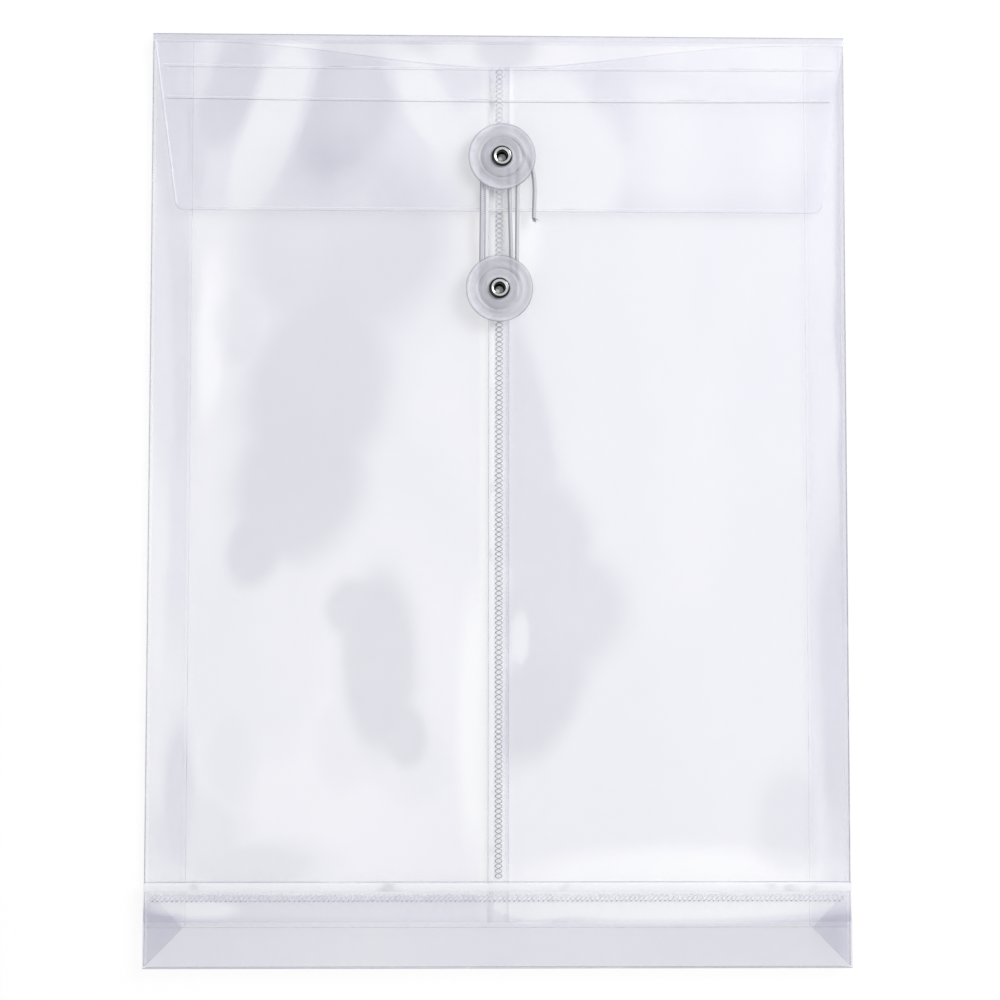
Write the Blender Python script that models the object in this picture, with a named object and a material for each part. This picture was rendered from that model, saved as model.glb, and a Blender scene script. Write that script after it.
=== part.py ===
"""Clear film document envelope with a string and two buttons, lying on its back, face up.

X runs across the width, Y from the folded bottom to the flap's fold, Z out of the face.
The origin is under the middle of the back panel. All sizes are in metres.
"""

import math

import bmesh
import bpy
from mathutils import Matrix, Vector

# Envelope, flat
WIDTH = 0.247
HEIGHT = 0.330
FILM = 0.0003
CLEARANCE = 0.0003
GUSSET_FOLD = 0.0136
BOTTOM_FOLD = 0.0146
SEAM_LAP = 0.0070
LAP_SLOPE = 0.0012
MOUTH_DIP = 0.0115
MOUTH_CURVE = 3
CORNER_TUCK_INSET = 0.0008

# Flap
FLAP_LENGTH = 0.064
FLAP_TAPER = 0.0089
FLAP_CORNER = 0.0036
FLAP_SIDE_GAP = 0.0006
FLAP_HINGE_GAP = 0.0005
FLAP_HINGE_RISE = 0.00025

# Stitching
THREAD = 0.0003
THREAD_WIDTH = 0.00036
STITCH_SWING = 0.0019
SEAM_STITCH_PITCH = 0.00173
BOTTOM_STITCH_PITCH = 0.0015
BOTTOM_STITCH_INSET = 0.0055
STITCH_END_GAP = 0.0010
BOTTOM_STITCH_SIDE_GAP = 0.0030

# Buttons, measured down from the flap's fold
UPPER_BUTTON_DROP = 0.0448
UPPER_BUTTON_X = 0.0008
BUTTON_SPACING = 0.0470
DISC_RADIUS = 0.0119
DISC_THICKNESS = 0.0009
DISC_EDGE = 0.00025
NECK_RADIUS = 0.0035
NECK_HEIGHT = 0.0020
BARREL_RADIUS = 0.0022
BARREL_WALL = 0.0003
EYELET_RIM_RADIUS = 0.0037
EYELET_RIM_HEIGHT = 0.0007
EYELET_FOOT_RADIUS = 0.0036
EYELET_FOOT = 0.0003
EYELET_FLOOR = 0.0004
ROUND_STEPS = 40

# String
STRING_DIAMETER = 0.0012
STRING_PITCH = 0.0017
STRING_INNER_RADIUS = 0.0044
STRING_LOOPS = 2
STRAND_POINTS = 6
ARC_POINTS = 6
ANCHOR_ANGLE = math.radians(-60)
LEAVE_ANGLE = math.radians(32)
LEAST_STRING_GAP = 0.0004
# The loose end's route, from the upper button's centre, across and up
TAIL_ROUTE = (
    (0.0086, 0.0004),
    (0.0101, -0.0022),
    (0.0110, -0.0048),
    (0.0115, -0.0080),
    (0.0117, -0.0115),
    (0.0116, -0.0150),
    (0.0115, -0.0185),
    (0.0114, -0.0218),
)

# Heights of the layers, from the table up
LAYER = FILM + CLEARANCE
Z_GUSSET_BACK = LAYER
Z_GUSSET_FRONT = Z_GUSSET_BACK + LAYER
Z_FRONT = Z_GUSSET_FRONT + LAYER
Z_LAP = Z_FRONT + LAYER
Z_SEAM_THREAD = Z_LAP + LAYER
Z_HEM = Z_LAP + LAYER
Z_TUCK = Z_HEM + LAYER
Z_BOTTOM = Z_TUCK + LAYER
Z_FLAP = Z_SEAM_THREAD + THREAD + CLEARANCE + EYELET_FOOT + CLEARANCE

# Places that follow from the sizes
SIDE = WIDTH / 2
END = HEIGHT / 2
SIDE_ROLL = (FILM + LAYER) / 2
CREASE_RADIUS = (Z_FLAP + FILM) / 2
CREASE_Y = END - CREASE_RADIUS
PANEL_TOP = CREASE_Y - FLAP_HINGE_GAP
HEM_ROLL = (Z_HEM + FILM - Z_FRONT) / 2
HEM_Y = -END + BOTTOM_FOLD
BOTTOM_ROLL = (Z_BOTTOM + FILM - Z_HEM) / 2
BOTTOM_FOLD_Y = HEM_Y + BOTTOM_FOLD
FRONT_START = HEM_Y + HEM_ROLL + CLEARANCE
FLAP_TIP = END - FLAP_LENGTH
UPPER_BUTTON = (UPPER_BUTTON_X, END - UPPER_BUTTON_DROP)
LOWER_BUTTON = (0.0, END - UPPER_BUTTON_DROP - BUTTON_SPACING)
HOLE_RADIUS = BARREL_RADIUS + CLEARANCE
Z_UPPER_NECK = Z_FLAP + LAYER
Z_LOWER_NECK = Z_SEAM_THREAD + THREAD + CLEARANCE
STRING_SEAT = NECK_HEIGHT / 2
ROLL_STEPS = 10
FLAP_CORNER_STEPS = 6
MOUTH_STEPS = 24


def make_material(name, colour, roughness, metallic=0.0, alpha=1.0):
    """One Principled finish."""
    finish = bpy.data.materials.new(name)
    finish.use_nodes = True
    shader = finish.node_tree.nodes["Principled BSDF"]
    shader.inputs["Base Color"].default_value = (*colour, 1.0)
    shader.inputs["Roughness"].default_value = roughness
    shader.inputs["Metallic"].default_value = metallic
    shader.inputs["Alpha"].default_value = alpha
    finish.diffuse_color = (*colour, alpha)
    return finish


def add_pivot(name, place, parent=None):
    """An empty on a joint's axis. Its world place is kept as a property."""
    pivot = bpy.data.objects.new(name, None)
    pivot.empty_display_size = 0.01
    pivot["place"] = place
    origin = Vector(parent["place"]) if parent else Vector((0, 0, 0))
    pivot.location = Vector(place) - origin
    pivot.parent = parent
    bpy.context.scene.collection.objects.link(pivot)
    return pivot


def add_piece(name, bm, finish, pivot=None):
    """Make a piece from a bmesh drawn in world coordinates, carried by its pivot."""
    bmesh.ops.recalc_face_normals(bm, faces=bm.faces)
    if pivot:
        bmesh.ops.translate(bm, vec=-Vector(pivot["place"]), verts=bm.verts)
    mesh = bpy.data.meshes.new(name)
    bm.to_mesh(mesh)
    bm.free()
    mesh.materials.append(finish)
    piece = bpy.data.objects.new(name, mesh)
    piece.parent = pivot
    bpy.context.scene.collection.objects.link(piece)
    return piece


def swept_profile(points, along):
    """A bmesh: the flat outline of 3-D points, extruded by the vector along."""
    bm = bmesh.new()
    face = bm.faces.new([bm.verts.new(point) for point in points])
    moved = bmesh.ops.extrude_face_region(bm, geom=[face])["geom"]
    end = [item for item in moved if isinstance(item, bmesh.types.BMVert)]
    bmesh.ops.translate(bm, vec=along, verts=end)
    return bm


def plate(outline, low, thickness):
    """A bmesh: an outline in X and Y, raised from low by thickness."""
    return swept_profile([(x, y, low) for x, y in outline], (0, 0, thickness))


def fold_outline(centre, roll, strip_end):
    """A film strip that leaves the top of a rolled fold, as (across, height) points.

    centre is the fold's middle, roll its radius, strip_end where the strip stops.
    """
    across, height = centre
    way = 1 if strip_end > across else -1
    start = math.asin((roll - FILM) / roll)
    sweep = 1.5 * math.pi + start
    points = [(strip_end, height + roll), (strip_end, height + roll - FILM)]
    for step in range(ROLL_STEPS + 1):
        angle = start - sweep * step / ROLL_STEPS
        points.append(
            (across + way * roll * math.cos(angle), height + roll * math.sin(angle))
        )
    return points


def cut(piece, cutter):
    """Cut a hidden shape out of a piece."""
    cutter.hide_render = True
    cutter.display_type = "WIRE"
    modifier = piece.modifiers.new("Cut " + cutter.name, "BOOLEAN")
    modifier.operation = "DIFFERENCE"
    modifier.object = cutter


def turned_piece(name, profile, centre, finish, pivot=None):
    """A body turned about a vertical axis from (radius, height) points.

    A profile that starts and ends on the axis stays open there, any other is a ring.
    """
    bm = bmesh.new()
    x, y = centre
    loop = [bm.verts.new((x + radius, y, height)) for radius, height in profile]
    ends = loop[1:] if profile[0][0] == 0 else loop[1:] + loop[:1]
    edges = [bm.edges.new(pair) for pair in zip(loop, ends)]
    bmesh.ops.spin(
        bm,
        geom=loop + edges,
        cent=(x, y, 0),
        axis=(0, 0, 1),
        angle=2 * math.pi,
        steps=ROUND_STEPS,
        use_merge=True,
    )
    bmesh.ops.remove_doubles(bm, verts=bm.verts, dist=1e-7)
    piece = add_piece(name, bm, finish, pivot)
    piece.data.shade_smooth()
    piece.data.set_sharp_from_angle(angle=math.radians(35))
    return piece


def make_back_panel(finish):
    """The sheet that lies on the table, between the two side folds."""
    half = SIDE - 2 * SIDE_ROLL - CLEARANCE
    outline = [(-half, -END), (half, -END), (half, PANEL_TOP), (-half, PANEL_TOP)]
    add_piece("back_panel", plate(outline, 0, FILM), finish)


def make_flap_crease(finish):
    """The half-round fold that takes the film from the back panel over to the flap."""
    inner = CREASE_RADIUS - FILM
    steps = 2 * ROLL_STEPS
    angles = [math.pi * (step / steps - 0.5) for step in range(steps + 1)]
    profile = [(math.cos(a) * CREASE_RADIUS, math.sin(a) * CREASE_RADIUS) for a in angles]
    profile += [(math.cos(a) * inner, math.sin(a) * inner) for a in reversed(angles)]
    points = [(-SIDE, CREASE_Y + u, CREASE_RADIUS + v) for u, v in profile]
    add_piece("flap_crease", swept_profile(points, (WIDTH, 0, 0)), finish)


def make_gusset(side_name, way, finish):
    """One side's two gusset halves, folded in between the front and the back."""
    edge = way * (SIDE - SIDE_ROLL)
    inner = edge - way * GUSSET_FOLD
    back = fold_outline((edge, SIDE_ROLL), SIDE_ROLL, inner + way * (SIDE_ROLL + CLEARANCE))
    high = Z_GUSSET_BACK + SIDE_ROLL
    front_end = edge - way * (SIDE_ROLL + CLEARANCE)
    front = fold_outline((inner, high), SIDE_ROLL, front_end)
    for half, profile in (("back", back), ("front", front)):
        points = [(x, -END, z) for x, z in profile]
        bm = swept_profile(points, (0, PANEL_TOP + END, 0))
        for vert in bm.verts:
            if vert.co.y < 0:
                vert.co.y = -END + CLEARANCE + SIDE - way * vert.co.x
        add_piece(f"gusset_{side_name}_{half}", bm, finish)


def mouth_cutter():
    """A tool that cuts the shallow curved mouth out of the two front panels."""
    dip = MOUTH_DIP - (END - PANEL_TOP)
    beyond = SIDE + CLEARANCE
    rim = [(-beyond, PANEL_TOP)]
    for step in range(MOUTH_STEPS + 1):
        x = SIDE * (2 * step / MOUTH_STEPS - 1)
        rim.append((x, PANEL_TOP - dip * math.cos(math.pi * x / WIDTH) ** MOUTH_CURVE))
    outline = rim + [(beyond, PANEL_TOP), (beyond, END), (-beyond, END)]
    bm = plate(outline, 0, Z_FLAP)
    return add_piece("mouth_tool", bm, bpy.data.materials[0])


def hole_cutter(name, centre, low, high):
    """A tool that cuts a round hole for an eyelet's barrel."""
    bm = bmesh.new()
    place = Matrix.Translation((*centre, (low + high) / 2))
    bmesh.ops.create_cone(
        bm,
        cap_ends=True,
        segments=ROUND_STEPS,
        radius1=HOLE_RADIUS,
        radius2=HOLE_RADIUS,
        depth=high - low,
        matrix=place,
    )
    return add_piece(name, bm, bpy.data.materials[0])


def make_front_panels(finish, pivot):
    """Two film halves, the right lapped over the left along the middle seam."""
    lap = SEAM_LAP / 2
    edge = SIDE - SIDE_ROLL
    height = Z_GUSSET_FRONT + SIDE_ROLL
    left = fold_outline((-edge, height), SIDE_ROLL, lap)
    right = fold_outline((edge, height), SIDE_ROLL, -lap)
    top, under = right[:2]
    step_low, step_high = lap + CLEARANCE + LAP_SLOPE, lap + CLEARANCE
    rise = Z_LAP - Z_FRONT
    lapped = [(step_low, top[1]), (step_high, top[1] + rise), (top[0], top[1] + rise)]
    lapped += [(under[0], under[1] + rise), (step_high, under[1] + rise), (step_low, under[1])]
    mouth = mouth_cutter()
    hole = hole_cutter("front_hole_tool", LOWER_BUTTON, 0, Z_FLAP)
    for name, profile in (("front_panel_left", left), ("front_panel_right", lapped + right[2:])):
        points = [(x, FRONT_START, z) for x, z in profile]
        bm = swept_profile(points, (0, PANEL_TOP + CLEARANCE - FRONT_START, 0))
        panel = add_piece(name, bm, finish, pivot)
        cut(panel, mouth)
        cut(panel, hole)


def make_hem(finish, pivot):
    """The front's bottom end, turned up over it."""
    profile = fold_outline(
        (HEM_Y, Z_FRONT + HEM_ROLL), HEM_ROLL, BOTTOM_FOLD_Y - BOTTOM_ROLL - CLEARANCE
    )
    points = [(-SIDE, y, z) for y, z in profile]
    add_piece("front_hem", swept_profile(points, (WIDTH, 0, 0)), finish, pivot)


def make_bottom(finish, pivot):
    """The block bottom, folded flat over the front, and its two tucked corners."""
    profile = fold_outline((BOTTOM_FOLD_Y, Z_HEM + BOTTOM_ROLL), BOTTOM_ROLL, -END)
    points = [(-SIDE, y, z) for y, z in profile]
    add_piece("bottom_panel", swept_profile(points, (WIDTH, 0, 0)), finish, pivot)
    inset = CORNER_TUCK_INSET
    low, high = -END + inset, BOTTOM_FOLD_Y - BOTTOM_ROLL - inset
    reach = GUSSET_FOLD - inset
    for side_name, way in (("left", -1), ("right", 1)):
        edge = way * (SIDE - inset)
        outline = [(edge, low), (edge, high), (edge - way * reach, (low + high) / 2)]
        add_piece("corner_tuck_" + side_name, plate(outline, Z_TUCK, FILM), finish, pivot)


def zigzag(start, end, pitch, low, across):
    """A flat zigzag thread from start to end. across says that it runs along X."""
    count = 2 * round((end - start) / pitch)
    step = (end - start) / count
    half = STITCH_SWING / 2
    slant = math.hypot(step, STITCH_SWING) / step * THREAD_WIDTH / 2
    line = [(half if n % 2 else -half, start + n * step) for n in range(count + 1)]
    rim = [(swing - slant, run) for swing, run in line]
    rim += [(swing + slant, run) for swing, run in reversed(line)]
    bm = bmesh.new()
    order = (1, 0) if across else (0, 1)
    verts = [bm.verts.new((point[order[0]], point[order[1]], low)) for point in rim]
    last = len(rim) - 1
    for n in range(count):
        bm.faces.new((verts[n], verts[n + 1], verts[last - n - 1], verts[last - n]))
    moved = bmesh.ops.extrude_face_region(bm, geom=bm.faces[:])["geom"]
    top = [item for item in moved if isinstance(item, bmesh.types.BMVert)]
    bmesh.ops.translate(bm, vec=(0, 0, THREAD), verts=top)
    return bm


def make_stitching(finish, front_pivot, bottom_pivot):
    """The zigzag threads of the middle seam and of the bottom's edge."""
    low = BOTTOM_FOLD_Y + BOTTOM_ROLL + STITCH_END_GAP
    high = END - MOUTH_DIP - STITCH_END_GAP
    clear = HOLE_RADIUS + STITCH_END_GAP / 2
    runs = (
        ("seam_thread_lower", low, LOWER_BUTTON[1] - clear),
        ("seam_thread_upper", LOWER_BUTTON[1] + clear, high),
    )
    for name, start, end in runs:
        bm = zigzag(start, end, SEAM_STITCH_PITCH, Z_SEAM_THREAD, False)
        add_piece(name, bm, finish, front_pivot)
    reach = SIDE - BOTTOM_STITCH_SIDE_GAP
    bm = zigzag(-reach, reach, BOTTOM_STITCH_PITCH, Z_BOTTOM + LAYER, True)
    line = BOTTOM_FOLD_Y + BOTTOM_ROLL - BOTTOM_STITCH_INSET
    bmesh.ops.translate(bm, vec=(0, line, 0), verts=bm.verts)
    add_piece("bottom_thread", bm, finish, bottom_pivot)


def make_flap(finish, pivot):
    """The closing flap, narrower at its tip, with round corners."""
    top = SIDE - FLAP_SIDE_GAP
    tip = SIDE - FLAP_TAPER
    slope = math.atan2(top - tip, PANEL_TOP - FLAP_TIP)
    sweep = math.pi / 2 - slope
    centre_x = tip - FLAP_CORNER * math.tan(sweep / 2)
    corner = []
    for step in range(FLAP_CORNER_STEPS + 1):
        angle = -math.pi / 2 + sweep * step / FLAP_CORNER_STEPS
        x = centre_x + FLAP_CORNER * math.cos(angle)
        corner.append((x, FLAP_TIP + FLAP_CORNER * (1 + math.sin(angle))))
    outline = corner + [(top, PANEL_TOP), (-top, PANEL_TOP)]
    outline += [(-x, y) for x, y in reversed(corner)]
    flap = add_piece("flap", plate(outline, Z_FLAP, FILM), finish, pivot)
    cut(flap, hole_cutter("flap_hole_tool", UPPER_BUTTON, 0, 2 * Z_FLAP))


def make_button(side_name, centre, low, film_top, film_bottom, finishes, pivots):
    """A disc on a narrow neck, both held to the film by a hollow eyelet."""
    plastic, metal = finishes
    film_pivot, disc_pivot = pivots
    bore = HOLE_RADIUS
    neck_top = low + NECK_HEIGHT
    neck = [(bore, low), (NECK_RADIUS, low), (NECK_RADIUS, neck_top), (bore, neck_top)]
    turned_piece(f"{side_name}_button_neck", neck, centre, plastic, film_pivot)
    under = neck_top + CLEARANCE
    over = under + DISC_THICKNESS
    disc = [
        (bore, under),
        (DISC_RADIUS - DISC_EDGE, under),
        (DISC_RADIUS, under + DISC_EDGE),
        (DISC_RADIUS, over - DISC_EDGE),
        (DISC_RADIUS - DISC_EDGE, over),
        (bore, over),
    ]
    turned_piece(f"{side_name}_button_disc", disc, centre, plastic, disc_pivot)
    rim_low = over + CLEARANCE
    rim_high = rim_low + EYELET_RIM_HEIGHT
    foot_high = film_bottom - CLEARANCE
    inner = BARREL_RADIUS - BARREL_WALL
    mid = (EYELET_RIM_RADIUS + inner) / 2
    eyelet = [
        (0, foot_high - EYELET_FOOT),
        (EYELET_FOOT_RADIUS, foot_high - EYELET_FOOT),
        (EYELET_FOOT_RADIUS, foot_high),
        (BARREL_RADIUS, foot_high),
        (BARREL_RADIUS, rim_low),
        (EYELET_RIM_RADIUS, rim_low),
        (EYELET_RIM_RADIUS - BARREL_WALL / 2, rim_low + EYELET_RIM_HEIGHT * 0.6),
        (mid + BARREL_WALL, rim_high),
        (mid - BARREL_WALL, rim_high),
        (inner + BARREL_WALL / 2, rim_low + EYELET_RIM_HEIGHT * 0.6),
        (inner, rim_low),
        (inner, foot_high - EYELET_FOOT + EYELET_FLOOR),
        (0, foot_high - EYELET_FOOT + EYELET_FLOOR),
    ]
    turned_piece(f"{side_name}_eyelet", eyelet, centre, metal, film_pivot)


def string_height(y):
    """The string's height: level over the flap, then easing down to the lower neck."""
    high = Z_UPPER_NECK + STRING_SEAT
    low = Z_LOWER_NECK + STRING_SEAT
    start, end = FLAP_TIP - STRING_DIAMETER, LOWER_BUTTON[1] + DISC_RADIUS / 2
    share = min(max((start - y) / (start - end), 0), 1)
    return high + (low - high) * share * share * (3 - 2 * share)


def winding_route():
    """The string's middle line: out of the upper neck, then loops round both necks."""
    upper, lower = Vector(UPPER_BUTTON), Vector(LOWER_BUTTON)
    up = (upper - lower).normalized()
    right = Vector((up.y, -up.x))
    out = right * math.cos(ANCHOR_ANGLE) + up * math.sin(ANCHOR_ANGLE)
    start = upper + out * (NECK_RADIUS + CLEARANCE)
    route = [start, start + out * STRING_DIAMETER]
    first = lower + right * STRING_INNER_RADIUS
    leaving = route[-1] - up * STRING_DIAMETER
    for step in range(STRAND_POINTS):
        share = step / STRAND_POINTS
        route.append(leaving.lerp(first, share) + out * STRING_DIAMETER * 0.25)
    turns_per_point = 1 / (2 * (STRAND_POINTS + ARC_POINTS))
    count = 0
    for loop in range(STRING_LOOPS):
        for centre, turn, last in ((lower, 0, False), (upper, math.pi, True)):
            for step in range(ARC_POINTS):
                radius = STRING_INNER_RADIUS + STRING_PITCH * count * turns_per_point
                angle = turn - math.pi * step / ARC_POINTS
                if last and loop == STRING_LOOPS - 1 and angle < LEAVE_ANGLE:
                    break
                spoke = right * math.cos(angle) + up * math.sin(angle)
                route.append(centre + spoke * radius)
                count += 1
            if last and loop == STRING_LOOPS - 1:
                break
            near, far = (lower, upper) if centre is lower else (upper, lower)
            side = -right if centre is lower else right
            for step in range(STRAND_POINTS):
                radius = STRING_INNER_RADIUS + STRING_PITCH * count * turns_per_point
                share = step / STRAND_POINTS
                route.append(near.lerp(far, share) + side * radius)
                count += 1
    radius = STRING_INNER_RADIUS + STRING_PITCH * count * turns_per_point
    spoke = right * math.cos(LEAVE_ANGLE) + up * math.sin(LEAVE_ANGLE)
    along = right * math.sin(LEAVE_ANGLE) - up * math.cos(LEAVE_ANGLE)
    end = upper + spoke * radius
    route += [end, end + along * STRING_DIAMETER]
    return [Vector((p.x, p.y, string_height(p.y))) for p in route], along


def tail_route(start, along):
    """The loose end's middle line, straight at first and then down over the flap."""
    upper = Vector((*UPPER_BUTTON, 0))
    way = Vector((along.x, along.y, 0))
    rest = Z_FLAP + LAYER + STRING_DIAMETER / 2
    knots = [start, start + way * STRING_DIAMETER]
    for n, (x, y) in enumerate(TAIL_ROUTE):
        share = (n + 1) / len(TAIL_ROUTE)
        knots.append(Vector((upper.x + x, upper.y + y, start.z + (rest - start.z) * share)))
    return knots


def make_tube(name, points, finish, pivot, resolution):
    """A round cord along its points."""
    curve = bpy.data.curves.new(name, "CURVE")
    curve.dimensions = "3D"
    curve.bevel_depth = STRING_DIAMETER / 2
    curve.bevel_resolution = resolution
    curve.use_fill_caps = True
    spline = curve.splines.new("POLY")
    spline.points.add(len(points) - 1)
    origin = Vector(pivot["place"])
    for knot, point in zip(spline.points, points):
        knot.co = (*(point - origin), 1)
    curve.materials.append(finish)
    cord = bpy.data.objects.new(name, curve)
    cord.parent = pivot
    bpy.context.scene.collection.objects.link(cord)
    return cord


def least_gap(points):
    """The least room between stretches of the cord that aren't next to each other."""
    fine = []
    for a, b in zip(points, points[1:]):
        fine += [a.lerp(b, n / 6) for n in range(6)]
    runs = [0.0]
    for a, b in zip(fine, fine[1:]):
        runs.append(runs[-1] + (b - a).length)
    apart = 6 * STRING_DIAMETER
    gaps = [
        (fine[i] - fine[j]).length - STRING_DIAMETER
        for i in range(len(fine))
        for j in range(i + 1, len(fine))
        if runs[j] - runs[i] > apart
    ]
    return min(gaps)


def make_string(finish, pivot):
    """The string wound twice round both necks, and its loose end."""
    route, along = winding_route()
    gap = least_gap(route)
    print(f"least gap of the winding to itself: {gap * 1000:.2f} mm")
    if gap < LEAST_STRING_GAP:
        raise ValueError("the winding's turns are too close")
    make_tube("string_winding", route, finish, pivot, 1)
    start = route[-1] + Vector((along.x, along.y, 0)) * CLEARANCE
    make_tube("string_tail", tail_route(start, along), finish, pivot, 2)


def main():
    for old in list(bpy.data.objects):
        bpy.data.objects.remove(old, do_unlink=True)
    film = make_material("clear_film", (0.86, 0.87, 0.92), 0.12, alpha=0.35)
    plastic = make_material("frosted_disc", (0.78, 0.78, 0.84), 0.35, alpha=0.75)
    metal = make_material("nickel_eyelet", (0.72, 0.72, 0.74), 0.15, metallic=1.0)
    thread = make_material("white_thread", (0.80, 0.80, 0.84), 0.60)
    cord = make_material("braided_string", (0.74, 0.74, 0.78), 0.75)

    front = add_pivot("front_pivot", (0, CREASE_Y, CREASE_RADIUS))
    hem = add_pivot("hem_pivot", (0, HEM_Y, Z_FRONT + HEM_ROLL), front)
    bottom = add_pivot("bottom_pivot", (0, BOTTOM_FOLD_Y, Z_HEM + BOTTOM_ROLL), hem)
    flap_height = Z_FLAP + FILM + FLAP_HINGE_RISE
    flap = add_pivot("flap_pivot", (0, PANEL_TOP, flap_height), front)
    upper_disc = add_pivot("upper_disc_pivot", (*UPPER_BUTTON, Z_UPPER_NECK), flap)
    lower_disc = add_pivot("lower_disc_pivot", (*LOWER_BUTTON, Z_LOWER_NECK), front)

    make_back_panel(film)
    make_flap_crease(film)
    make_gusset("left", -1, film)
    make_gusset("right", 1, film)
    make_front_panels(film, front)
    make_hem(film, hem)
    make_bottom(film, bottom)
    make_stitching(thread, front, bottom)
    make_flap(film, flap)
    finishes = (plastic, metal)
    make_button(
        "upper", UPPER_BUTTON, Z_UPPER_NECK, Z_FLAP + FILM, Z_FLAP, finishes, (flap, upper_disc)
    )
    make_button(
        "lower", LOWER_BUTTON, Z_LOWER_NECK, Z_LAP + FILM, Z_FRONT, finishes, (front, lower_disc)
    )
    make_string(cord, flap)


main()
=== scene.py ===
"""Looks of a clear string envelope, laid out as a Blender add-on.

Every operator makes one piece, or one group of like pieces, around the loaded frame. Lengths are in
metres: X runs across the envelope, Y from its folded bottom to the flap's fold, Z out of its face.
"""

import math

import bmesh
import bpy
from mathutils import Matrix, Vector
from mathutils.geometry import convex_hull_2d


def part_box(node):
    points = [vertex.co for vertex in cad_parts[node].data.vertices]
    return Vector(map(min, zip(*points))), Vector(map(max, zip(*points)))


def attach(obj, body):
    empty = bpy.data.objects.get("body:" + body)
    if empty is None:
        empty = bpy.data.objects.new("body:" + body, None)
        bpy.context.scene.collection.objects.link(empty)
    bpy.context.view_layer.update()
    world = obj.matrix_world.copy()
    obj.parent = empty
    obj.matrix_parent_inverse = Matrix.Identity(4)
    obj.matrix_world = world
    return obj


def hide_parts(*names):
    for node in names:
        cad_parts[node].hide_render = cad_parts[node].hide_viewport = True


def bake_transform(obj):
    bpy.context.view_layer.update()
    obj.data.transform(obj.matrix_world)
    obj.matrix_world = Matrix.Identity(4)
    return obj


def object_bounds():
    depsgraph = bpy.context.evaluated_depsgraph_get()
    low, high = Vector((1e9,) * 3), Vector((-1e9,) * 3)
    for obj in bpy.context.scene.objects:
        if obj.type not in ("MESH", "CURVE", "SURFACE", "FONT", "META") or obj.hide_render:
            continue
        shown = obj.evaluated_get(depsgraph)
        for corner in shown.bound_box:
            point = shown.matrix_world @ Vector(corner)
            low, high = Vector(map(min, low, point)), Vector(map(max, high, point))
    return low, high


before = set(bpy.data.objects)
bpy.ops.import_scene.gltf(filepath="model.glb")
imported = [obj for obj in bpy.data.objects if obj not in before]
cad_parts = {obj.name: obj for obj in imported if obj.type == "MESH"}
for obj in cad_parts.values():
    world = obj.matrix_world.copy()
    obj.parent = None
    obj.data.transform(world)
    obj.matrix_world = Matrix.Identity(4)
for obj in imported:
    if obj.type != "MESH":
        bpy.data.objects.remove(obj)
CAD_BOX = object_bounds()
# How far the envelope's sides and ends are from its middle
SIDE, END = CAD_BOX[1][0], CAD_BOX[1][1]

bl_info = {
    "name": "Clear string envelope",
    "version": (1, 0, 0),
    "blender": (4, 5, 0),
    "location": "3D View > Sidebar > Envelope",
    "description": "Builds the film, stitching, buttons and string of a clear document envelope",
    "category": "Object",
}


# Settings


COLOUR = {"min": 0.0, "max": 1.0, "size": 3, "subtype": "COLOR"}
SHARE = {"min": 0.0, "max": 1.0, "subtype": "FACTOR"}
STITCH = {"min": 0.001, "max": 0.004, "unit": "LENGTH"}


class EnvelopeSettings(bpy.types.PropertyGroup):
    """Sizes and colours that a user would change"""

    film_opacity: bpy.props.FloatProperty(
        name="Film opacity",
        description="How much one face of the film hides",
        default=0.14,
        **SHARE,
    )
    film_light: bpy.props.FloatVectorProperty(
        name="Film highlight",
        description="Colour of the film where it catches the light",
        default=(0.96, 0.965, 1.0),
        **COLOUR,
    )
    film_body: bpy.props.FloatVectorProperty(
        name="Film body",
        description="Colour of the plain film",
        default=(0.69, 0.69, 0.81),
        **COLOUR,
    )
    # Painted shade: the colour of the film's darkest painted patches
    film_shade: bpy.props.FloatVectorProperty(
        name="Film shade",
        description="Colour of the film's cloudy patches",
        default=(0.32, 0.32, 0.47),
        **COLOUR,
    )
    film_edge: bpy.props.FloatVectorProperty(
        name="Film edge",
        description="Colour along creases and cut edges",
        default=(0.42, 0.42, 0.50),
        **COLOUR,
    )
    crease_width: bpy.props.FloatProperty(
        name="Crease width",
        description="Width of a pressed line in the film",
        default=0.00032,
        min=0.0001,
        max=0.002,
        unit="LENGTH",
    )
    thread_diameter: bpy.props.FloatProperty(
        name="Thread diameter",
        description="Thickness of the sewing thread",
        default=0.00025,
        min=0.0001,
        max=0.0005,
        unit="LENGTH",
    )
    thread_colour: bpy.props.FloatVectorProperty(
        name="Thread colour",
        description="Colour of the sewing thread",
        default=(0.25, 0.25, 0.29),
        **COLOUR,
    )
    stitch_swing: bpy.props.FloatProperty(
        name="Stitch width",
        description="How far a stitch reaches across its seam",
        default=0.0025,
        **STITCH,
    )
    seam_pitch: bpy.props.FloatProperty(
        name="Seam stitch pitch",
        description="Length of one stitch in the middle seam",
        default=0.00173,
        **STITCH,
    )
    bottom_pitch: bpy.props.FloatProperty(
        name="Bottom stitch pitch",
        description="Length of one stitch across the bottom",
        default=0.0017,
        **STITCH,
    )
    disc_opacity: bpy.props.FloatProperty(
        name="Disc opacity",
        description="How much one face of a button hides",
        default=0.50,
        **SHARE,
    )
    disc_colour: bpy.props.FloatVectorProperty(
        name="Disc colour",
        description="Colour of the frosted buttons",
        default=(0.57, 0.57, 0.63),
        **COLOUR,
    )
    metal_colour: bpy.props.FloatVectorProperty(
        name="Eyelet colour",
        description="Colour of the plated eyelets",
        default=(0.62, 0.62, 0.64),
        **COLOUR,
    )
    string_colour: bpy.props.FloatVectorProperty(
        name="String colour",
        description="Colour of the braided string",
        default=(0.70, 0.70, 0.80),
        **COLOUR,
    )
    string_diameter: bpy.props.FloatProperty(
        name="String diameter",
        description="Thickness of the braided string",
        default=0.00148,
        min=0.0005,
        max=0.002,
        unit="LENGTH",
    )


def envelope():
    """The envelope's settings."""
    return bpy.context.scene.string_envelope


# Making finishes


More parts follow.
